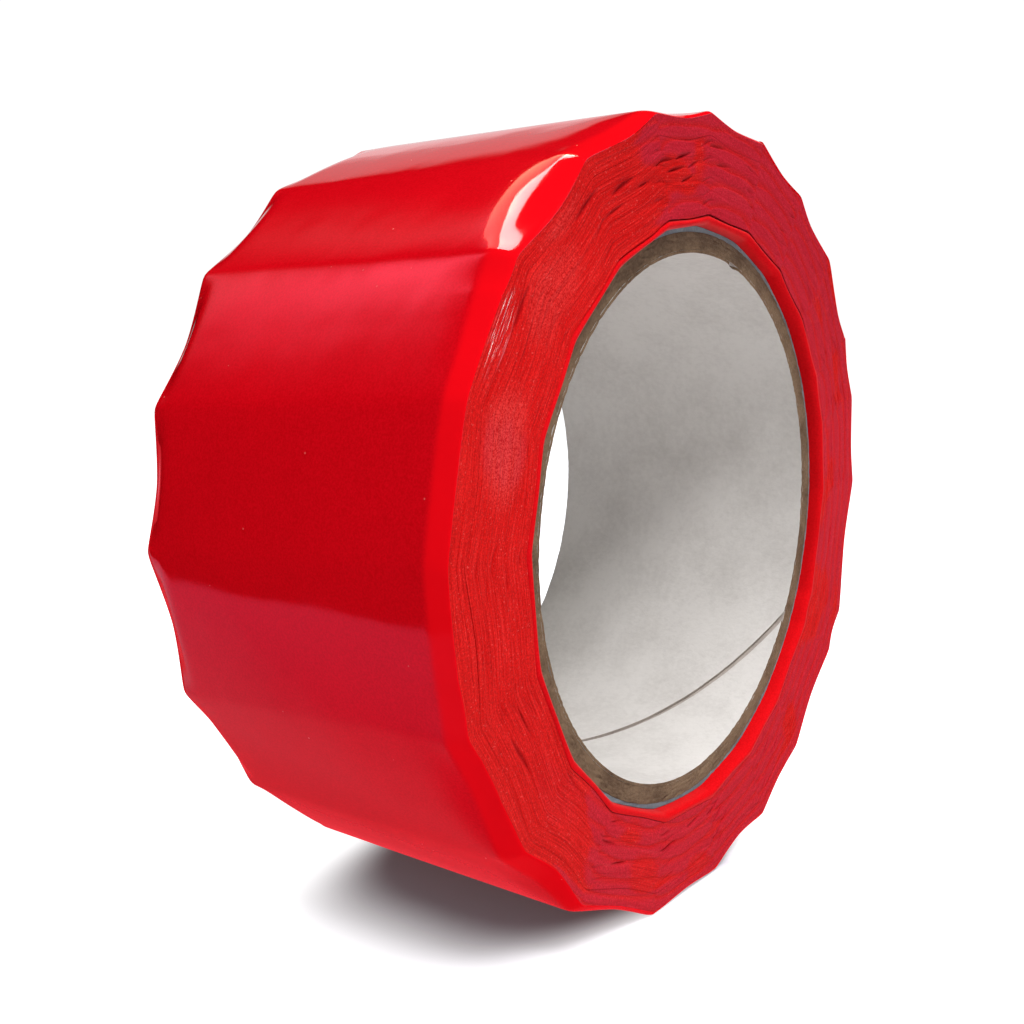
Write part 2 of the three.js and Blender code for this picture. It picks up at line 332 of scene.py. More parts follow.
def grid_faces(rows, columns, closed):
    """Quads of a grid, with the row and column of each one's first corner."""
    row, col = np.meshgrid(
        np.arange(rows if closed else rows - 1),
        np.arange(columns if closed else columns - 1),
        indexing="ij",
    )
    row2, col2 = (row + 1) % rows, (col + 1) % columns
    corners = [(row, col), (row, col2), (row2, col2), (row2, col)]
    faces = np.stack([r * columns + c for r, c in corners], -1).reshape(-1, 4)
    return faces, row.reshape(-1), col.reshape(-1)


def inside_out(verts, faces):
    a, b, c, d = (verts[faces[:, k]] for k in range(4))
    first = np.einsum("ij,ij->i", a, np.cross(b, c))
    second = np.einsum("ij,ij->i", a, np.cross(c, d))
    return float((first + second).sum()) < 0


def make_object(name, verts, faces, materials, face_mats, sharp, uv=None, marks=None):
    mesh = bpy.data.meshes.new(name)
    mesh.from_pydata(((verts + CORE_CENTRE) * 0.001).tolist(), [], faces.tolist())
    for material in materials:
        mesh.materials.append(material)
    mesh.polygons.foreach_set("material_index", np.asarray(face_mats, np.int32))
    if uv is not None:
        layer = mesh.uv_layers.new(name="UVMap")
        layer.data.foreach_set("uv", np.asarray(uv, np.float32).ravel())
    for mark, values in (marks or {}).items():
        attribute = mesh.attributes.new(mark, "FLOAT", "POINT")
        attribute.data.foreach_set("value", np.asarray(values, np.float32).ravel())
    mesh.polygons.foreach_set("use_smooth", np.ones(len(mesh.polygons), bool))
    mesh.update()
    mesh.set_sharp_from_angle(angle=math.radians(sharp))
    ob = bpy.data.objects.new(name, mesh)
    bpy.context.scene.collection.objects.link(ob)
    return ob


class RingRows:
    """The section of a closed ring, row by row; each row has a value for every column."""

    def __init__(self, cols):
        self.cols = cols
        self.flat = np.zeros(len(cols.near))
        self.rows = []

    def add(self, radius, y, v=None, angle=None, **marks):
        """v is the texture's second coordinate, and is y unless given."""
        y = y + self.flat
        v = y if v is None else v
        angle = theta_at(self.cols, y) if angle is None else angle
        self.rows.append(dict(radius=radius, y=y, v=v, angle=angle, **marks))

    def table(self, key):
        return np.array([row.get(key, 0.0) + self.flat for row in self.rows])

    def build(self, name, materials, sharp, row_mats=None, marks=()):
        angle = self.table("angle")
        verts = polar_points(self.table("radius"), self.table("y"), angle)
        rows, columns = angle.shape
        faces, row, col = grid_faces(rows, columns, closed=True)
        row2, col2 = (row + 1) % rows, (col + 1) % columns
        grid_uv = np.stack([angle * UV_ARC, self.table("v")], -1)
        uv = grid_uv[np.stack([row, row, row2, row2], -1), np.stack([col, col2, col2, col], -1)]
        # the last column's faces end one full turn on
        uv[..., 1:3, 0] += (col + 1 == columns)[:, None] * (360 * UV_ARC)
        face_mats = (np.zeros(rows) if row_mats is None else np.asarray(row_mats))[row]
        if inside_out(verts, faces):
            faces = faces[:, ::-1]
            uv = uv[:, ::-1]
        tables = {mark: self.table(mark) for mark in marks}
        return make_object(
            name, verts, faces, materials, face_mats, sharp, uv.reshape(-1, 2), tables
        )


def thick_sheet(name, radii, y, angle, materials, block_mats, sharp):
    """An open sheet between two radii.

    block_mats: first face, second face, start and stop by angle, near and far edges.
    """
    rows, columns = angle.shape
    verts = np.concatenate([polar_points(radius, y, angle) for radius in radii])
    face, _, _ = grid_faces(rows, columns, closed=False)
    second = rows * columns
    blocks = [face, face[:, ::-1] + second]
    row = np.arange(rows - 1)
    for col, flip in ((0, False), (columns - 1, True)):
        here, there = row * columns + col, (row + 1) * columns + col
        quads = np.stack([here, there, there + second, here + second], -1)
        blocks.append(quads[:, ::-1] if flip else quads)
    col = np.arange(columns - 1)
    for row, flip in ((0, True), (rows - 1, False)):
        here, there = row * columns + col, row * columns + col + 1
        quads = np.stack([here, there, there + second, here + second], -1)
        blocks.append(quads[:, ::-1] if flip else quads)
    face_mats = np.concatenate([np.full(len(b), mat) for b, mat in zip(blocks, block_mats)])
    faces = np.concatenate(blocks)
    if inside_out(verts, faces):
        faces = faces[:, ::-1]
    return make_object(name, verts, faces, materials, face_mats, sharp)


def fix_to_roll(ob, cad):
    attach(ob, "roll")
    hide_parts(cad)


# ---------------------------------------------------------------- shader helpers
class Shader:
    """Short ways to add and link the nodes of a material or world."""

    def __init__(self, owner, clear=False):
        owner.use_nodes = True
        self.tree = owner.node_tree
        if clear:
            self.tree.nodes.clear()

    def put(self, node, inputs):
        """Set inputs by name or number, to sockets, numbers or RGB colours."""
        for key, value in inputs.items():
            target = node.inputs[key]
            if isinstance(value, bpy.types.NodeSocket):
                self.tree.links.new(value, target)
            else:
                target.default_value = (*value, 1) if target.type == "RGBA" else value

    def node(self, kind, inputs=None, **settings):
        node = self.tree.nodes.new(kind)
        for key, value in settings.items():
            setattr(node, key, value)
        self.put(node, inputs or {})
        return node

    def first(self, kind, inputs=None, **settings):
        """Add a node and return its first output."""
        return self.node(kind, inputs, **settings).outputs[0]

    def math(self, operation, *values):
        return self.first("ShaderNodeMath", dict(enumerate(values)), operation=operation)

    def add(self, a, b):
        return self.math("ADD", a, b)

    def sub(self, a, b):
        return self.math("SUBTRACT", a, b)

    def mul(self, a, b):
        return self.math("MULTIPLY", a, b)

    def div(self, a, b):
        return self.math("DIVIDE", a, b)

    def ease(self, value, start, end):
        """0 at start to 1 at end."""
        return self.first(
            "ShaderNodeMapRange", {0: value, 1: start, 2: end}, interpolation_type="SMOOTHSTEP"
        )

    def ramp(self, value, stops):
        """Stops are (position, colour)."""
        node = self.node("ShaderNodeValToRGB", {0: value})
        elements = node.color_ramp.elements
        while len(elements) < len(stops):
            elements.new(0.5)
        for element, (position, colour) in zip(elements, stops):
            element.position = position
            element.color = (*colour, 1)
        return node.outputs[0]

    def mix(self, share, a, b, mode="MIX"):
        inputs = {0: share, 6: a, 7: b}
        node = self.node("ShaderNodeMix", data_type="RGBA", blend_type=mode)
        self.put(node, inputs)
        return node.outputs[2]

    def mix_shader(self, share, a, b):
        return self.first("ShaderNodeMixShader", {0: share, 1: a, 2: b})

    def place(self):
        return self.node("ShaderNodeTexCoord").outputs["Object"]

    def stretch(self, vector, scale):
        return self.first("ShaderNodeMapping", {"Scale": scale, "Vector": vector})

    def split(self, vector):
        return self.node("ShaderNodeSeparateXYZ", {0: vector}).outputs

    def noise(self, vector, scale=1.0, detail=2.0, roughness=0.5):
        inputs = {"Scale": scale, "Detail": detail, "Roughness": roughness, "Vector": vector}
        return self.first("ShaderNodeTexNoise", inputs)

    def bump(self, height, strength, distance):
        inputs = {"Strength": strength, "Distance": distance, "Height": height}
        return self.node("ShaderNodeBump", inputs)

    def mark(self, name):
        return self.node("ShaderNodeAttribute", attribute_name=name).outputs["Fac"]

    def rays(self):
        return self.node("ShaderNodeLightPath").outputs

    def ellipse(self, point, centre, reach):
        """0 at the centre of an ellipse, 1 on its outline."""
        a, b = (self.div(self.sub(point[i], centre[i]), reach[i]) for i in (0, 1))
        return self.add(self.mul(a, a), self.mul(b, b))


def new_material(name):
    material = bpy.data.materials.new(name)
    shader = Shader(material)
    return material, shader, shader.tree.nodes["Principled BSDF"]


def scaled(colour, factor, most=1.0):
    return tuple(min(channel * factor, most) for channel in colour)


# ---------------------------------------------------------------- materials
# what the film and edges look like to bounced light, so that the red doesn't spread
BOUNCE = (0.20, 0.14, 0.17)


def film_material(name, base, roughness, gloss):
    material, s, principled = new_material(name)
    place = s.place()
    # slow unevenness of the wound film, and the orange peel on top of it
    uneven = s.noise(place, scale=70.0, detail=2.0, roughness=0.45)
    peel = s.noise(place, scale=900.0, detail=3.0, roughness=0.55)
    slow_bump = s.bump(uneven, strength=0.5, distance=0.00040)
    fine_bump = s.bump(peel, strength=0.12, distance=0.00002)
    normal = fine_bump.outputs[0]
    s.put(fine_bump, {"Normal": slow_bump.outputs[0]})

    # dust: a small dot in a few of the cells
    dot_radius, cell_cut, dust_share, dust_roughness = 0.058, 0.78, 0.35, 0.4
    cells = s.node("ShaderNodeTexVoronoi", {"Scale": 420.0, "Vector": place}).outputs
    pick = s.first("ShaderNodeTexWhiteNoise", {"Vector": cells["Position"]})
    in_dot = s.math("LESS_THAN", cells["Distance"], dot_radius)
    dust = s.mul(in_dot, s.math("GREATER_THAN", pick, cell_cut))

    cloud = s.noise(place, scale=25.0, detail=4.0, roughness=0.6)
    colour = s.ramp(cloud, [(0.3, scaled(base, 0.93)), (0.7, scaled(base, 1.05, most=0.9))])
    grain = s.noise(place, scale=3600.0, detail=1.0)
    grain_and_painted_sheen = s.ramp(grain, [(0.32, (0.93, 0.85, 0.85)), (0.68, (1.07, 1.45, 1.45))])
    colour = s.mix(1.0, colour, grain_and_painted_sheen, "MULTIPLY")
    # painted light: the turned-down rims are painted a brighter red, as if they caught more
    # light
    colour = s.mix(s.mark("rim"), colour, (0.95, 0.0028, 0.0085))
    colour = s.mix(s.mul(dust, dust_share), colour, (0.85, 0.25, 0.22))
    colour = s.mix(s.rays()["Is Diffuse Ray"], colour, BOUNCE)
    s.put(
        principled,
        {"Base Color": colour, "Specular IOR Level": 0.0, "Roughness": 0.9, "Normal": normal},
    )

    # the gloss takes the colour of the film when seen square on, and turns white at a glance
    cloud_roughness, matt_loss = 0.03, 0.75
    fresnel = s.first("ShaderNodeFresnel", {"IOR": 1.6, "Normal": normal})
    rough = s.add(s.mul(cloud, cloud_roughness), roughness)
    rough = s.add(rough, s.mul(dust, dust_roughness))
    tint = s.ramp(
        fresnel,
        [(0.085, (1.0, 0.13, 0.21)), (0.125, (1.0, 0.48, 0.53)), (0.175, (1.0, 0.92, 0.93))],
    )
    glossy = s.first(
        "ShaderNodeBsdfGlossy", {"Roughness": rough, "Normal": normal, "Color": tint}
    )
    share = s.sub(gloss, s.mul(s.mark("matt"), matt_loss * gloss))
    both = s.mix_shader(s.mul(fresnel, share), principled.outputs[0], glossy)
    s.put(s.tree.nodes["Material Output"], {0: both})
    return material


# Painted sheen on the near face, pale glows painted into the colour: arc and radius of the
# centre, half arc, half height (texture mm), and strength
PAINTED_SHEENS = [
    (142.4, 49.4, 8.5, 4.6, 0.42),
    (122.5, 49.5, 9.0, 4.4, 0.24),
    (116.0, 54.5, 6.0, 2.2, 0.22),
]


def edge_colour(s, uv, place, lines, fine, grain):
    """Colour of the side faces, before the bounce colour."""
    patch, slit_shade = s.mark("patch"), s.mark("slit_shade")
    red = s.ramp(
        lines,
        [
            (0.30, (0.50, 0.0035, 0.0035)),
            (0.48, (0.68, 0.0070, 0.0065)),
            (0.70, (0.84, 0.022, 0.020)),
        ],
    )
    pink = s.ramp(
        fine,
        [
            (0.25, (0.56, 0.012, 0.025)),
            (0.6, (0.62, 0.0165, 0.032)),
            (0.8, (0.67, 0.023, 0.039)),
        ],
    )
    colour = s.mix(patch, red, pink)

    # painted shade: darker towards the top, on a line leaning a little to +X
    lean_x, lean_z, axis_height = 0.26, 0.97, 0.0552
    x, _, z = s.split(place)
    height = s.add(s.mul(x, lean_x), s.mul(s.sub(z, axis_height), lean_z))
    top = s.ease(height, start=0.020, end=0.046)
    colour = s.mix(top, colour, s.mix(1.0, colour, (0.85, 0.91, 0.95), "MULTIPLY"))

    speckle = s.ramp(
        grain,
        [(0.34, (0.80, 0.78, 0.78)), (0.5, (1.0, 1.0, 1.0)), (0.66, (1.18, 1.5, 1.5))],
    )
    colour = s.mix(1.0, colour, speckle, "MULTIPLY")

    # painted glints: bright specks painted into the colour, fewer on the pale patches
    glint_share, patch_loss = 0.5, 0.35
    glint = s.ease(s.noise(place, scale=3300.0, detail=1.0), start=0.66, end=0.78)
    glint = s.mul(glint, s.sub(glint_share, s.mul(patch, patch_loss)))
    colour = s.mix(glint, colour, (0.92, 0.13, 0.12))
    # painted shade: the slit mask darkens the red inside the slits
    colour = s.mix(slit_shade, colour, (0.34, 0.0025, 0.004))

    arc_radius = s.split(uv)
    # painted sheen: pale glows painted over the red where light shines off the face
    for arc, radius, half_arc, half_height, strength in PAINTED_SHEENS:
        spread = s.ellipse(arc_radius, (arc, radius), (half_arc, half_height))
        grain_and_painted_sheen = s.mul(s.ease(spread, start=1.0, end=0.0), s.ease(grain, start=0.34, end=0.62))
        colour = s.mix(s.mul(grain_and_painted_sheen, strength), colour, (0.88, 0.105, 0.10))
    return colour


def edge_material(name):
    """The cut edges of the wound turns: matt, with a fine line for every turn."""
    material, s, principled = new_material(name)
    uv = s.first("ShaderNodeUVMap", uv_map="UVMap")
    lines = s.noise(s.stretch(uv, (0.10, 5.2, 1)), detail=3.0, roughness=0.65)
    broad = s.noise(s.stretch(uv, (0.035, 1.5, 1)), detail=2.0, roughness=0.5)
    place = s.place()
    grain = s.noise(place, scale=4800.0, detail=2.0, roughness=0.6)
    colour = edge_colour(s, uv, place, lines, broad, grain)

    # single turns shine in one rubbed spot of the rim, in texture mm
    rubbed = s.ellipse(s.split(uv), centre=(131.5, 55.2), reach=(6.0, 1.9))
    streak = s.noise(s.stretch(uv, (0.16, 5.0, 1)), detail=2.0, roughness=0.6)
    polish = s.mul(s.ease(rubbed, start=1.0, end=0.2), s.ease(streak, start=0.54, end=0.64))

    line_roughness, least_roughness = 0.2, 0.42
    roughness = s.add(s.mul(lines, line_roughness), least_roughness)
    colour = s.mix(s.rays()["Is Diffuse Ray"], colour, BOUNCE)

    # the bump is stronger in the rubbed spot
    line_height, grain_height = 1.0, 0.25
    plain_strength, rubbed_strength = 0.32, 0.6
    height = s.add(s.mul(lines, line_height), s.mul(grain, grain_height))
    bump = s.bump(height, strength=plain_strength, distance=0.00012)
    extra = s.mul(s.ease(rubbed, start=1.0, end=0.2), rubbed_strength)
    s.put(bump, {"Strength": s.add(extra, plain_strength)})
    normal = bump.outputs[0]
    s.put(
        principled,
        {
            "Base Color": colour,
            "Roughness": roughness,
            "Specular Tint": (1.0, 0.25, 0.3),
            "Specular IOR Level": 0.07,
            "Normal": normal,
        },
    )
    shine = s.first(
        "ShaderNodeBsdfGlossy", {"Roughness": 0.2, "Color": (1.0, 0.86, 0.80), "Normal": normal}
    )
    polish_share = 0.6
    both = s.mix_shader(s.mul(polish, polish_share), principled.outputs[0], shine)
    s.put(s.tree.nodes["Material Output"], {0: both})
    return material


def paper_material(name, base, dark, scale=1.0, roughness=0.85, fibre=0.5):
    """Mottled paper; scale sets how fine it is, and fibre how strong the relief."""
    material, s, principled = new_material(name)
    place = s.place()
    mottle = s.noise(place, scale=110.0 * scale, detail=5.0, roughness=0.6)
    stretched = s.stretch(place, (1100 * scale, 900 * scale, 1100 * scale))
    fibres = s.noise(stretched, detail=4.0, roughness=0.7)
    cloud = s.noise(place, scale=28.0, detail=2.0)
    mottle_share, fibre_share, cloud_share = 0.45, 0.35, 0.2
    shade = s.add(s.mul(mottle, mottle_share), s.mul(fibres, fibre_share))
    shade = s.add(shade, s.mul(cloud, cloud_share))
    light = scaled(base, 1.06, most=0.95)
    colour = s.ramp(shade, [(0.36, dark), (0.55, base), (0.75, light)])
    bump = s.bump(fibres, strength=fibre, distance=0.00012)
    s.put(
        principled,
        {
            "Base Color": colour,
            "Roughness": roughness,
            "Specular IOR Level": 0.25,
            "Normal": bump.outputs[0],
        },
    )
    return material


FILM = film_material("red_film", base=(0.78, 0.0020, 0.0075), roughness=0.055, gloss=1.0)
FIRST = film_material("red_film_first", base=(0.78, 0.004, 0.007), roughness=0.5, gloss=0.3)
EDGE = edge_material("wound_edges")
ADHESIVE = paper_material(
    "adhesive_side",
    base=(0.72, 0.048, 0.052),
    dark=(0.55, 0.030, 0.036),
    scale=0.7,
    roughness=0.32,
    fibre=0.25,
)
LINER = paper_material(
    "liner_paper", base=(0.742, 0.714, 0.688), dark=(0.628, 0.600, 0.574), fibre=0.6
)
KRAFT = paper_material(
    "kraft_board", base=(0.250, 0.165, 0.100), dark=(0.110, 0.068, 0.040), scale=2.6, fibre=1.0
)
LINER_EDGE = paper_material(
    "liner_paper_edge", base=(0.50, 0.44, 0.40), dark=(0.34, 0.29, 0.26), scale=2.6
)
GREY = paper_material(
    "core_wrap_paper", base=(0.33, 0.38, 0.42), dark=(0.20, 0.22, 0.25), scale=2.0
)


# ---------------------------------------------------------------- core
def liner():
    """The white inner ply: one sheet wound on the slant, with a slot where its edges meet."""
    ys = np.linspace(-CORE_W / 2, CORE_W / 2, 97)
    # the sheet runs once round from one side of the slot to the other, at each y
    half_slot = 0.5 * SEAM_W / math.sin(math.radians(SEAM_SLANT)) / abs(SEAM_RISE)
    round_share = np.linspace(0, 1, 420)
    seam = (ys - SEAM_Y) / SEAM_RISE
    start = seam + half_slot + noise2(ys * 1.3, 0.0, seed=21) * 0.10
    stop = seam + 360 - half_slot + noise2(ys * 1.1, 5.0, seed=22) * 0.10
    angle = start[:, None] + (stop - start)[:, None] * round_share[None]
    wrapped = (angle + 180) % 360 - 180
    y = np.repeat(ys[:, None], len(round_share), 1)

    # slightly lifted edges along the joint
    lift_reach = 2.2
    lift = bell(round_share * 360 / lift_reach) + bell((1 - round_share) * 360 / lift_reach)
    waves = 0.03 * ring_noise(wrapped, y * 0.2, per_turn=40, seed=31)
    inner = BORE_R - 0.05 * lift[None] * 0.6 + waves

    # a worn near end with one notch, and a lightly worn far end
    fray = 0.20 * np.abs(ring_noise(wrapped[0], 0.3, per_turn=420, seed=33))
    y[0] += fray + 0.9 * bell((wrapped[0] - 73.5) / 1.3)
    y[-1] -= 0.12 * np.abs(ring_noise(wrapped[-1], 0.9, per_turn=300, seed=34))
    ob = thick_sheet(
        "core_liner_sheet",
        (inner, np.full_like(inner, BORE_R + LINER_THICK)),
        y,
        angle,
        [LINER, LINER_EDGE, KRAFT],
        block_mats=(0, 0, 1, 1, 2, 2),
        sharp=50,
    )
    fix_to_roll(ob, "core_liner_paper")


def board_ply(number, inner, thick):
    """One ply of brown board, with rough ends."""
    angles = np.linspace(-180, 180, 960, endpoint=False)
    rows = RingRows(Columns(near=angles, far=angles))
    roughness = 0.22
    for side, shares in enumerate((np.linspace(0, 1, 5), np.linspace(0, 1, 5)[::-1])):
        end, sign = (-CORE_W / 2, CORE_W / 2)[side], INWARD[side]
        for share in shares:
            radius = inner + thick * share
            wear = roughness * np.abs(
                ring_noise(angles, radius * 2.4, per_turn=330, seed=41) * 0.8
                + ring_noise(angles, radius * 1.1, per_turn=110, seed=44) * 0.6
                + ring_noise(angles, radius * 6.0, per_turn=700, seed=47) * 0.4
            )
            rows.add(radius, end + sign * (wear + 0.012 * (2 * share - 1) ** 4))
        # a few rows along each wall keep the shading even
        for share in (0.25, 0.5, 0.75):
            rows.add(inner if side else inner + thick, end + sign * CORE_W * share)
    # the bore side, which shows through the slot in the liner, carries a pale skin
    row_mats = [0] * (len(rows.rows) - 4) + [1] * 4
    ob = rows.build(f"core_board_ply_{number}", [KRAFT, LINER_EDGE], 50, row_mats)
    fix_to_roll(ob, f"core_kraft_ply_{number}")


liner()
for k in range(4):
    board_ply(k + 1, BORE_R + BOARD_START + BOARD_PITCH * k, BOARD_THICK)


# ---------------------------------------------------------------- relief of the side faces
# Parted turns on the near face: angle, mean radius, half length, half width, depth, slope
SLITS = [
    (127, 52.2, 3.4, 0.20, 0.55, 0.10), (121, 48.6, 2.6, 0.12, 0.35, -0.08),
    (117.5, 50.8, 3.2, 0.22, 0.65, -0.12), (112, 49.6, 1.6, 0.10, 0.4, 0.10),
    (105, 50.6, 2.4, 0.13, 0.5, -0.16), (102, 49.6, 2.6, 0.13, 0.55, -0.20),
    (99.5, 51.4, 2.4, 0.13, 0.55, -0.22), (98.5, 48.4, 2.0, 0.12, 0.45, -0.24),
    (96.5, 50.2, 1.8, 0.11, 0.4, -0.24), (88.5, 52.6, 2.6, 0.12, 0.35, -0.20),
    (86.5, 50.6, 2.4, 0.12, 0.3, -0.24), (146, 53.0, 3.6, 0.16, 0.5, 0.12),
    (149, 50.5, 3.8, 0.10, 0.3, -0.04), (207, 50.2, 3.6, 0.16, 0.4, -0.10),
    (203, 47.6, 3.0, 0.12, 0.3, -0.06), (238, 47.2, 2.2, 0.14, 0.4, 0.10),
    (243, 50.0, 2.4, 0.12, 0.4, -0.10), (-101, 47.2, 2.4, 0.14, 0.5, -0.12),
    (-92, 45.6, 2.0, 0.12, 0.45, -0.25), (-84, 45.2, 2.2, 0.14, 0.5, -0.30),
    (-82.5, 47.4, 1.8, 0.13, 0.45, -0.34), (-83, 50.6, 1.6, 0.12, 0.4, -0.34),
    (-82, 52.4, 1.5, 0.12, 0.35, -0.30), (-79.5, 49.2, 1.6, 0.13, 0.45, -0.34),
    (-60, 46.8, 2.0, 0.14, 0.45, -0.30), (-57, 49.5, 1.8, 0.15, 0.5, -0.34),
    (-10, 48.5, 2.4, 0.12, 0.35, 0.10), (18, 49.5, 2.2, 0.12, 0.35, -0.10),
]

# Near face: angle, mean radius, half width in degrees, half height, 1 pale pink to 0 clear red
PATCHES = [
    (104, 49.5, 6.0, 2.6, 0.0), (93, 51.0, 3.4, 2.6, 0.0), (110, 46.8, 6.5, 2.6, 0.0),
    (106, 54.5, 6.0, 3.4, 1.0), (84, 50.0, 9.0, 8.0, 1.0), (60, 49.0, 14.0, 9.0, 1.0),
    (104, 43.8, 5.0, 1.2, 1.0), (-72, 49.5, 9.0, 6.5, 1.0), (-95, 48.0, 9.0, 6.0, 1.0),
    (-90, 53.5, 4.0, 2.4, 0.25), (-108, 51.0, 5.0, 3.6, 0.15), (-50, 50.5, 3.6, 4.0, 0.0),
    (-38, 49.5, 6.0, 6.0, 1.0), (238, 50.0, 5.0, 3.2, 1.0), (234, 46.0, 5.0, 2.0, 1.0),
    (219, 47.5, 7.0, 3.4, 0.1), (-54, 45.6, 7.0, 2.8, 1.0), (-22, 48.0, 5.0, 3.0, 0.1),
    (12, 49.5, 7.0, 4.5, 1.0), (164, 49.5, 4.5, 4.4, 0.35),
]


def ridge_slits():
    """Five small slits up each ridge of the near face, leaning in turn each way."""
    rng = np.random.RandomState(7)
    return [
        (
            ridge[0] + rng.uniform(0.2, 3.2),
            44.6 + 1.95 * k + rng.uniform(-0.6, 0.6),
            rng.uniform(1.2, 2.6),
            rng.uniform(0.07, 0.13),
            rng.uniform(0.10, 0.24),
            (0.22 if i % 2 else -0.18) + rng.uniform(-0.06, 0.06),
        )
        for i, ridge in enumerate(RIDGES)
        for k in range(5)
    ]


def far_slits():
    """Five slits scattered about each ridge of the far face."""
    rng = np.random.RandomState(19)
    return [
        (
            ridge[2] + rng.uniform(-4, 4),
            rng.uniform(44.2, 54.4),
            rng.uniform(1.2, 3.4),
            rng.uniform(0.08, 0.16),
            rng.uniform(0.12, 0.5),
            rng.uniform(-0.25, 0.25),
        )
        for ridge in RIDGES
        for _ in range(5)
    ]


SIDE_SLITS = (SLITS + ridge_slits(), far_slits())


def cut_slits(depth, angle, mean_r, side):
    """The depth with the slits cut in, and their mask, which paints shade into the slits."""
    mask = np.zeros_like(depth)
    for centre, radius, half, width, deep, slope in SIDE_SLITS[side]:
        arc = angle_from(angle, centre) * (math.pi / 180) * radius
        inside = np.abs(arc) < half
        if not inside.any():
            continue
        taper = np.where(inside, (1 - np.clip(arc / half, -1, 1) ** 2), 0)
        # one lip sharp, the other sloping away
        off = mean_r - (radius + slope * arc)
        local = width * (0.35 + 0.65 * taper)
        cut = np.where(off > 0, bell(off / (2.6 * local)), bell(off / (0.8 * local))) * taper
        depth = depth + 0.7 * deep * cut
        mask = np.maximum(mask, cut * min(1.0, deep * 1.7))
    return depth, mask


def pale_pink_patches(angle, mean_r, rough, side, seed):
    """Mask of the pale pink patches, with clear red between them."""
    bias = 0.36 - 1.5 * rough + (0.10 if side == 0 else 0.0)
    base = ring_noise(angle, mean_r * 0.24, per_turn=30, seed=seed + 6)
    base = base + 0.30 * ring_noise(angle, mean_r * 0.9, per_turn=90, seed=seed + 8)
    base = base + 0.28 * noise2(COLS.sector * 5.7, mean_r * 0.21, seed=seed + 13)
    patch = smoothstep(-0.10, 0.12, base + bias)
    if side == 0:
        wander = 0.35 * ring_noise(angle, mean_r * 0.8, per_turn=80, seed=301)
        for centre, radius, half_angle, half_height, value in PATCHES:
            turned = angle_from(angle, centre) / half_angle
            spread = np.hypot(turned, (mean_r - radius) / half_height) + wander
            patch = patch + (value - patch) * (1 - smoothstep(0.75, 1.15, spread))
    return patch


def side_relief(mean_r, side):
    """Depth below a side face, slit mask and patch mask: a row for each mean radius."""
    mean_r, angle = np.broadcast_arrays(mean_r[:, None], theta_at(COLS, SIDE_Y[side]))
    seed = (100, 200)[side]
    # single turns, each at its own height with a groove beside it
    turn = mean_r / 0.2 + angle / 360.0
    layer = np.floor(turn)
    ring = np.radians(angle)
    cell = 9.0 / (2 * math.pi)
    offset = noise2(
        layer * 3.17 + cell * np.cos(ring), cell * np.sin(ring) + layer * 1.31, seed=seed
    )
    groove = np.abs((turn - layer) - 0.5) * 2
    if side == 0:
        rough = smoothstep(104, 128, angle) * (1 - smoothstep(214, 240, angle))
    else:
        rough = 0.5
    rough = rough + 0.35 * ring_noise(angle, mean_r * 0.1, per_turn=14, seed=seed + 11)
    rough = np.clip(rough, 0.05, 1)
    depth = 0.03 + (0.012 + 0.032 * rough) * (offset + groove**2)

    # shallow steps where groups of turns have slid past each other, breaking at the ridges
    group_edge = 0.35 * ring_noise(angle, 0.0, per_turn=20, seed=seed + 9)
    group = np.floor(mean_r / 1.35 + group_edge)
    depth = depth + 0.045 * (noise2(group * 2.7, COLS.sector * 3.3, seed=seed + 12) + 1)
    swell = ring_noise(angle, mean_r * 0.30, per_turn=46, seed=seed + 1)
    depth = depth + 0.08 * (swell + 1) * 0.5
    depth, slit_shade = cut_slits(depth, angle, mean_r, side)
    patch = pale_pink_patches(angle, mean_r, rough, side, seed)

    # every ridge lays the turns over each other like petals: clear red where one dips under
    ridge = np.abs(COLS.across - 0.5) * 2
    phase = mean_r / 2.7 + 0.55 * ridge**2
    phase = phase + 0.5 * noise2(COLS.sector * 2.9, 0.0, seed=seed + 21)
    phase = phase + 0.22 * ring_noise(angle, mean_r * 0.4, per_turn=60, seed=seed + 22)
    phase = phase - np.floor(phase)
    petal = smoothstep(0.02, 0.42, phase) * (1 - smoothstep(0.90, 1.0, phase))
    patch = patch * (0.35 + 0.65 * petal)
    depth = depth + 0.10 * (1 - petal) * (1 - rough)
    return depth, slit_shade, patch


def side_rows(side, mean_r, radii, lead=1.0):
    """Rows of a side face as add() takes them: outwards on the near side, inwards on the far."""
    depth, slit_shade, patch = side_relief(mean_r, side)
    y = SIDE_Y[side] + INWARD[side] * depth * lead
    rows = [
        dict(radius=radii[k], y=y[k], v=mean_r[k], slit_shade=slit_shade[k], patch=patch[k])
        for k in range(len(mean_r))
    ]
    return rows[:: INWARD[side]]


# ---------------------------------------------------------------- wound tape
def band(name, cad, inner, outer):
    """A band of turns, with both its side faces."""
    rows = RingRows(COLS)
    mean_r = np.linspace(inner, outer, int(round((outer - inner) / TURN_STEP)) + 1)
    for side, wall_r, wall_ys in ((0, outer, WALL_YS), (1, inner, WALL_YS[::-1])):
        radii = band_radius(COLS, SIDE_Y[side], mean_r[:, None])
        for row in side_rows(side, mean_r, radii):
            rows.add(**row, angle=theta_at(COLS, SIDE_Y[side]))
        for y in wall_ys:
            rows.add(band_radius(COLS, y, wall_r), y)
    ob = rows.build(name, [EDGE], sharp=60, marks=("slit_shade", "patch"))
    fix_to_roll(ob, cad)


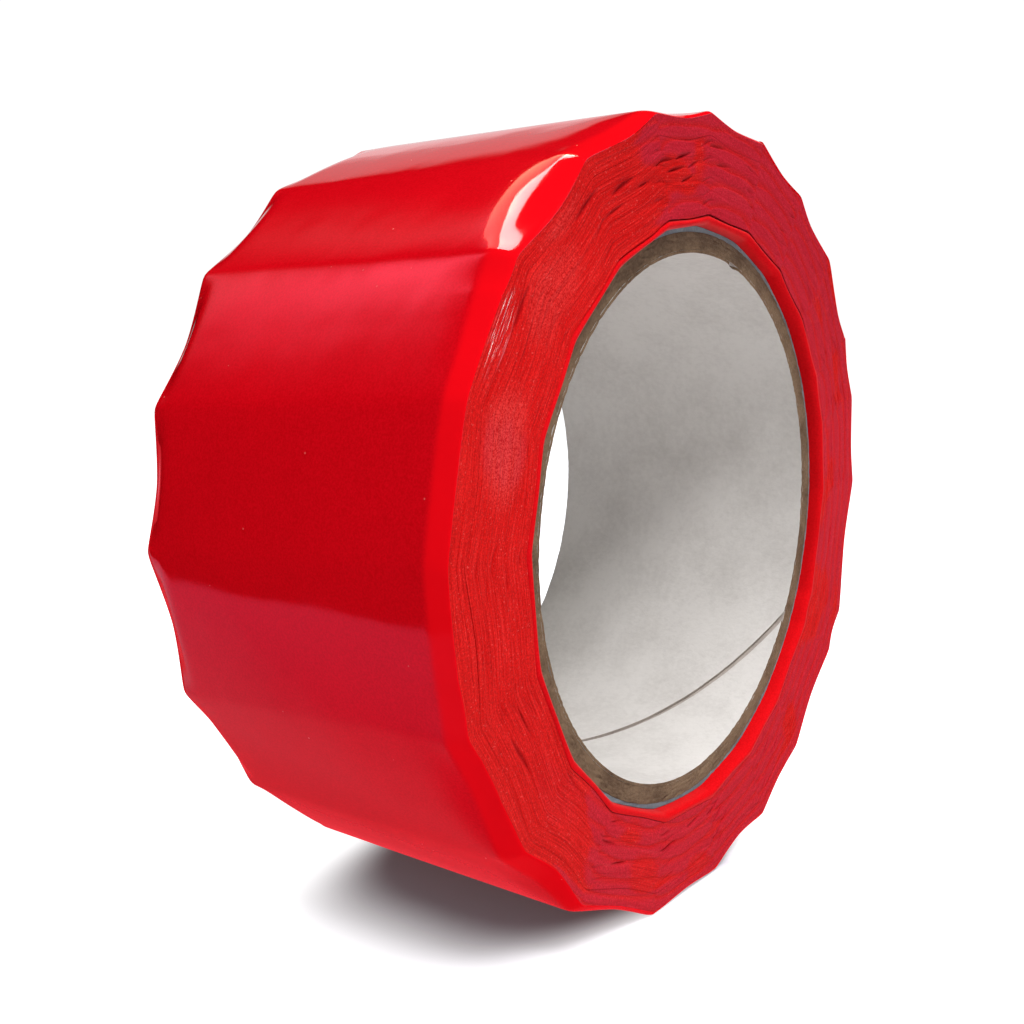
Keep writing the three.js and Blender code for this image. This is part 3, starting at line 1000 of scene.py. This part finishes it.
def wrapper_ply():
    """The grey paper round the core; it swells into the hollow under each ridge."""

    def outside(y):
        wall = band_radius(COLS, y, TAPE_R0)
        return wall - hug(wall) - WRAPPER_GAP

    rows = RingRows(COLS)
    inner = BORE_R + WRAPPER_START
    for side, shares in enumerate(((0.0, 0.5, 1.0), (1.0, 0.5, 0.0))):
        end, sign = (-CORE_W / 2, CORE_W / 2)[side], INWARD[side]
        outer = outside(end)
        swollen = np.clip((outer - (HUG_R - WRAPPER_GAP)) / 0.8, 0, 1)
        for share in shares:
            wear = 0.10 * np.abs(ring_noise(COLS.near, share * 1.3, per_turn=300, seed=61))
            inset = 0.10 + wear + 0.25 * share * swollen
            rows.add(inner + (outer - inner) * share, end + sign * inset)
        for share in (0.2, 0.5, 0.8):
            y = end + sign * CORE_W * share
            rows.add(inner if side else outside(y), y)
    ob = rows.build("core_wrapper_ply", [GREY], sharp=50)
    fix_to_roll(ob, "core_outer_ply")


# Edge of the first turns: share of the way out, and depth below the side face
FIRST_PROFILE = [
    (0.0, 1.25), (0.04, 0.80), (0.12, 0.42), (0.25, 0.16), (0.42, 0.0),
    (0.60, -0.04), (0.76, 0.06), (0.88, 0.26), (0.96, 0.55), (1.0, 0.8),
]


def first_turns():
    """The first turns next to the core: smooth edges that stand a little proud of the rest."""
    near = COLS.near
    inset = 0.06
    span = FIRST_OUT_R - TAPE_R0
    # how far the near edge falls away on its outer side
    upper = smoothstep(34, 48, near) * (1 - smoothstep(118, 150, near))
    lower = smoothstep(118, 150, near) * (1 - smoothstep(205, 225, near))
    fall = np.clip(upper * 0.8 + 0.3 * lower, 0.05, 1)
    near_waves = 0.10 * ring_noise(near, 0.0, per_turn=34, seed=71)
    far_waves = 0.10 * ring_noise(COLS.far, 0.0, per_turn=34, seed=73)
    rows = RingRows(COLS)

    def add(mean_r, y):
        y = y + rows.flat
        inward = np.clip((FIRST_OUT_R - mean_r) / span, 0, 1)
        wall = band_radius(COLS, y, TAPE_R0)
        rows.add(band_radius(COLS, y, mean_r) - hug(wall, inward), y)

    for share, depth in FIRST_PROFILE:
        depth = depth * fall if share > 0.7 else depth
        add(TAPE_R0 + span * share, NEAR_Y + inset + near_waves + depth)
    for y in WALL_YS:
        add(FIRST_OUT_R, y)
    for share, depth in FIRST_PROFILE[::-1]:
        add(TAPE_R0 + span * share, FAR_Y - inset - depth + far_waves)
    for y in WALL_YS[::-1]:
        add(TAPE_R0, y)
    ob = rows.build("tape_turns_first", [FIRST], sharp=60)
    fix_to_roll(ob, "tape_first_wraps")


# Rows of the outer surface, by distance from the side face
LAST_STATIONS = [
    0.012, 0.05, 0.11, 0.19, 0.30, 0.42, 0.58, 0.76, 1.0, 1.3, 1.65, 2.05, 2.45, 2.75, 3.0,
    3.25, 3.6, 4.0, 4.45, 4.9, 5.5, 6.2, 7.2, 8.8, 10.5, 12.5, 15, 18, 21.5,
]


def last_turns():
    """The outermost turns: glossy outside, turned down over both rims, matt at their edges."""
    rows = RingRows(COLS)
    near = COLS.near
    out_shares = np.linspace(0, 1, 21)[:, None]

    def add_face(side):
        inner = band_radius(COLS, SIDE_Y[side], LAST_IN_R)
        outer = outer_radius(COLS, SIDE_Y[side]) - rim_size(COLS, side)[0] - 0.05 - dip(near)
        radii = inner + (outer - inner) * out_shares
        mean_r = LAST_IN_R + out_shares[:, 0] * LAST_THICK
        for row in side_rows(side, mean_r, radii, lead=1 - 0.5 * out_shares):
            rows.add(**row, edge=1)

    def add_outside(side, distance, rim):
        y = SIDE_Y[side] + INWARD[side] * distance
        radius = outer_radius(COLS, y) - shoulder(COLS, distance, side) - dip(near)
        matt = rim * smoothstep(143, 154, near) * (1 - smoothstep(228, 244, near))
        rows.add(radius, y, rim=rim, matt=matt)

    add_face(0)
    rim_width = rim_size(COLS, 0)[1]
    # the rim mark sets where the film is painted a brighter red, as painted light
    for distance in LAST_STATIONS:
        rim = 1 - smoothstep(0.72 * rim_width, 1.08 * rim_width, distance)
        add_outside(0, distance, rim)
    for distance in LAST_STATIONS[::-1]:
        add_outside(1, distance, rim=1 - smoothstep(0.5, 1.5, distance))
    add_face(1)
    for y in WALL_YS[::-1]:
        rows.add(band_radius(COLS, y, LAST_IN_R), y, edge=1)

    # a strip of faces is wound edges only if both its rows are
    edge = rows.table("edge")[:, 0]
    ob = rows.build(
        "tape_turns_last",
        [FILM, EDGE],
        sharp=55,
        row_mats=edge * np.roll(edge, -1),
        marks=("slit_shade", "patch", "rim", "matt"),
    )
    fix_to_roll(ob, "tape_last_wraps")


band("tape_turns_inner", "tape_inner_wraps", 43.28, 47.64)
band("tape_turns_middle", "tape_middle_wraps", 47.66, 51.44)
band("tape_turns_outer", "tape_outer_wraps", 51.46, 53.66)
wrapper_ply()
first_turns()
last_turns()

# ---------------------------------------------------------------- free end
# Rows of the strip, by distance from the side face
END_STATIONS = [
    0.25, 0.45, 0.7, 1.0, 1.4, 1.8, 2.3, 2.9, 3.6, 4.6, 6, 8, 10.5, 13.5, 17, 21,
]


def surface_at(angles):
    """Columns at any angles, where both faces share their angles."""

    def sample(pair):
        return tuple(np.interp(angles, COLS.near, values) for values in pair)

    return Columns(angles, angles, sample(COLS.crest), sample(COLS.depth))


def end_piece(part, start, stop, torn=False):
    """A stretch of the free end over a zone of angles."""
    cols = surface_at(np.linspace(start, stop, int((stop - start) / 0.35) + 2))
    ys = np.array(
        [NEAR_Y + d for d in END_STATIONS]
        + [NEAR_Y + TAPE_W / 2]
        + [FAR_Y - d for d in END_STATIONS[::-1]]
    )
    radius = np.array(
        [
            outer_radius(cols, y)
            - shoulder(cols, min(y - NEAR_Y, FAR_Y - y), side=0 if y < 0 else 1)
            for y in ys
        ]
    )
    angle = np.repeat(cols.near[None], len(ys), 0)
    if torn:  # the last edge is not quite straight
        first = angle[:, :1]
        span = angle[:, -1:] - first
        wave = 0.18 * noise2(ys * 0.55, 3.0, seed=81) + 0.06 * noise2(ys * 3.1, 4.0, seed=82)
        angle = first + (angle - first) * (1 + wave[:, None] / span)
    ob = thick_sheet(
        f"tape_end_{part}_film",
        (radius, radius - END_THICK),
        np.repeat(ys[:, None], len(cols.near), 1),
        angle,
        [FILM, ADHESIVE],
        block_mats=(0, 1, 0, 0, 0, 0),
        sharp=60,
    )
    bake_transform(ob)
    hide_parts(f"tape_end_{part}_strip")


end_piece("root", 27.84, 35.3)
end_piece("middle", 35.3, 50.5)
end_piece("tip", 50.5, END_TIP, torn=True)

# ---------------------------------------------------------------- floor, metres
FLOOR_HALF = 4.0
# The soft shadow is a rounded oblong, fully dark out to a share of its outline
SHADOW_X, SHADOW_Y = 0.0958, 0.0001
SHADOW_HALF = (0.1459, 0.0316)
SHADOW_DARK = 0.832
SHADOW_POWER = 3.62
SHADOW_TURN = -0.0069  # radians
SHADOW_LEVEL = 0.04


def shadow_light(s, x, y):
    """Light of the floor as the camera sees it: white but for the shadow under the roll."""
    cos, sin = math.cos(SHADOW_TURN), math.sin(SHADOW_TURN)
    half_u, half_v = SHADOW_HALF
    dx = s.sub(x, SHADOW_X)
    dy = s.sub(y, SHADOW_Y)
    u = s.add(s.mul(dx, cos / half_u), s.mul(dy, sin / half_u))
    v = s.add(s.mul(dx, -sin / half_v), s.mul(dy, cos / half_v))
    u_power, v_power = (s.math("POWER", s.math("ABSOLUTE", w), SHADOW_POWER) for w in (u, v))
    reach = s.math("POWER", s.add(u_power, v_power), 1 / SHADOW_POWER)
    lit = s.ease(reach, start=SHADOW_DARK, end=1.0)
    # the shadow also ends beyond a slanting line on the +X, -Y side
    line_slant = 0.9
    beyond = s.sub(x, s.mul(y, line_slant))
    lit = s.math("MAXIMUM", lit, s.ease(beyond, start=0.0285, end=0.045))
    return s.add(lit, SHADOW_LEVEL)


def table_glare(s, x, y):
    """What the film reflects: a lit table that ends towards -X, reddish round the roll."""
    slant_x, slant_y, table_edge, edge_blur = -0.94, 0.12, 0.129, 0.007
    across = s.add(s.mul(x, slant_x), s.mul(y, slant_y))
    table = s.sub(1.0, s.ease(across, start=table_edge, end=table_edge + edge_blur))
    right_share, least_white, red, blue_gain = 0.55, 0.06, 1.1, 1.35
    left_white = s.ease(x, start=-0.03, end=-0.13)
    right_white = s.mul(s.ease(x, start=0.15, end=0.40), right_share)
    white = s.add(s.add(left_white, right_white), least_white)
    colour = s.first("ShaderNodeCombineXYZ", {0: red, 1: white, 2: s.mul(white, blue_gain)})
    return s.first("ShaderNodeEmission", {"Color": colour, "Strength": table})


def floor_material():
    material = bpy.data.materials.new("pale_floor")
    s = Shader(material, clear=True)
    rays = s.rays()
    position = s.node("ShaderNodeNewGeometry").outputs["Position"]
    x, y, _ = s.split(position)
    lit = shadow_light(s, x, y)
    colour = s.mix(rays["Is Camera Ray"], (0.84, 0.84, 0.84), (0.66, 0.635, 0.70))
    diffuse = s.first("ShaderNodeBsdfDiffuse", {0: colour})
    emission = s.first("ShaderNodeEmission", {"Strength": lit})
    seen = s.first("ShaderNodeAddShader", {0: diffuse, 1: emission})
    surface = s.mix_shader(rays["Is Camera Ray"], diffuse, seen)
    surface = s.mix_shader(rays["Is Glossy Ray"], surface, table_glare(s, x, y))
    s.node("ShaderNodeOutputMaterial", {0: surface})
    return material


def floor():
    mesh = bpy.data.meshes.new("floor")
    corners = [(-1, -1), (1, -1), (1, 1), (-1, 1)]
    verts = [(x * FLOOR_HALF, y * FLOOR_HALF, 0) for x, y in corners]
    mesh.from_pydata(verts, [], [(0, 1, 2, 3)])
    ob = bpy.data.objects.new("floor", mesh)
    bpy.context.scene.collection.objects.link(ob)
    mesh.materials.append(floor_material())


floor()

# ---------------------------------------------------------------- world
# Soft glows that only reflections see: elevation and azimuth (degrees, from +Y towards +X),
# spread in each, and strength
GLOWS = [
    (46, -25, 7, 7, 4.5),
    (36, -24, 7, 9, 1.6),
    (58, 9, 6, 6, 1.2),
    (48, 6, 6, 6, 0.35),
]


def world():
    studio = bpy.data.worlds.new("studio")
    bpy.context.scene.world = studio
    s = Shader(studio, clear=True)
    rays = s.rays()
    x, y, z = s.split(s.node("ShaderNodeTexCoord").outputs["Generated"])
    elevation = s.mul(s.math("ARCSINE", z), 180 / math.pi)
    azimuth = s.mul(s.math("ARCTAN2", x, y), 180 / math.pi)

    def glow_spot(at_elevation, at_azimuth, spread_elevation, spread_azimuth, strength):
        spread = s.ellipse(
            (elevation, azimuth),
            (at_elevation, at_azimuth),
            (spread_elevation, spread_azimuth),
        )
        return s.mul(s.math("EXPONENT", s.mul(spread, -1.0)), strength)

    glow = glow_spot(*GLOWS[0])
    for spot in GLOWS[1:]:
        glow = s.add(glow, glow_spot(*spot))

    # the lit backdrop towards +X and +Y, in two steps of height
    high_level, low_level = 0.40, 0.42
    backdrop = s.add(
        s.mul(s.ease(elevation, start=36, end=32), high_level),
        s.mul(s.ease(elevation, start=26, end=21), low_level),
    )
    backdrop = s.mul(backdrop, s.ease(azimuth, start=24, end=33))
    bottom = s.ease(elevation, start=-8, end=2)
    backdrop = s.mul(backdrop, s.mul(bottom, s.ease(azimuth, start=92, end=68)))
    glow = s.add(glow, backdrop)

    colour = s.first("ShaderNodeCombineXYZ", {0: glow, 1: glow, 2: glow})
    reflected = s.first("ShaderNodeBackground", {"Color": colour})
    ambient = s.first(
        "ShaderNodeBackground", {"Color": (1.0, 0.985, 0.975), "Strength": 0.22}
    )
    seen = s.first("ShaderNodeBackground", {"Color": (1, 1, 1), "Strength": 1.05})
    surface = s.mix_shader(rays["Is Glossy Ray"], ambient, reflected)
    surface = s.mix_shader(rays["Is Camera Ray"], surface, seen)
    s.node("ShaderNodeOutputWorld", {0: surface})
    # worlds have no cycles settings where Cycles isn't registered
    try:
        studio.cycles.sampling_method = "NONE"
    except AttributeError:
        pass


world()

# ---------------------------------------------------------------- lights, metres
LIT_POINT = Vector((0.0, 0.0, 0.055))


def lamp(
    name, direction, distance, size, level, size_y=None, colour=(1, 1, 1), card=False
):
    """A softbox facing the roll; a card is seen only in reflections.

    level is the share of full white it gives a surface that faces it.
    """
    light = bpy.data.lights.new(name, "AREA")
    light.energy = math.pi**2 * distance * distance * level
    light.color = colour
    light.size = size
    if size_y:
        light.shape = "RECTANGLE"
        light.size_y = size_y
    ob = bpy.data.objects.new(name, light)
    bpy.context.scene.collection.objects.link(ob)
    ob.location = LIT_POINT + Vector(direction).normalized() * distance
    ob.rotation_mode = "QUATERNION"
    # its back looks away from the roll, and its width lies as near to X as it can
    z = (ob.location - LIT_POINT).normalized()
    x = Vector((1, 0, 0))
    x = (x - z * x.dot(z)).normalized()
    y = z.cross(x)
    ob.rotation_quaternion = Matrix((x, y, z)).transposed().to_quaternion()
    ob.visible_glossy = card
    ob.visible_diffuse = not card
    ob.visible_camera = False


lamp("overhead", direction=(0.10, -0.30, 0.95), distance=0.8, size=0.40, level=0.56)
lamp("front_left", direction=(-0.31, -0.498, 0.81), distance=0.8, size=0.20, level=0.54)
lamp(
    "rim_card",
    direction=(0.045, 0.225, 0.973),
    distance=0.5,
    size=0.13,
    size_y=0.095,
    level=0.80,
    colour=(1.0, 1.0, 0.62),
    card=True,
)
lamp(
    "rim_halo",
    direction=(0.085, 0.33, 0.94),
    distance=0.5,
    size=0.17,
    size_y=0.16,
    level=0.20,
    colour=(1.0, 0.85, 0.50),
    card=True,
)
lamp(
    "edge_card", direction=(0.24, -0.88, 0.40), distance=0.6, size=0.22, level=0.19, card=True
)

# ---------------------------------------------------------------- camera
CAMERA_PLACE = (-154.77978, -107.73813, 26.82724)  # mm from the centre of the core
CAMERA_RIGHT = (0.6017186, -0.7987082, 0.0)
CAMERA_DOWN = (-0.1157510, -0.0872152, -0.9894419)
CAMERA_FORWARD = (0.7902762, 0.5953644, -0.1449303)


def camera():
    data = bpy.data.cameras.new("camera")
    ob = bpy.data.objects.new("camera", data)
    bpy.context.scene.collection.objects.link(ob)
    right, down, forward = map(np.array, (CAMERA_RIGHT, CAMERA_DOWN, CAMERA_FORWARD))
    place = (np.array(CAMERA_PLACE) + CORE_CENTRE) * 0.001
    rows = np.stack([right, -down, -forward, place], -1).tolist()
    ob.matrix_world = Matrix([*rows, (0, 0, 0, 1)])
    data.sensor_width = 36.0
    data.lens = 42.6829922
    data.clip_start, data.clip_end = 0.01, 50
    bpy.context.scene.camera = ob


camera()
bpy.context.scene.view_settings.view_transform = "Standard"
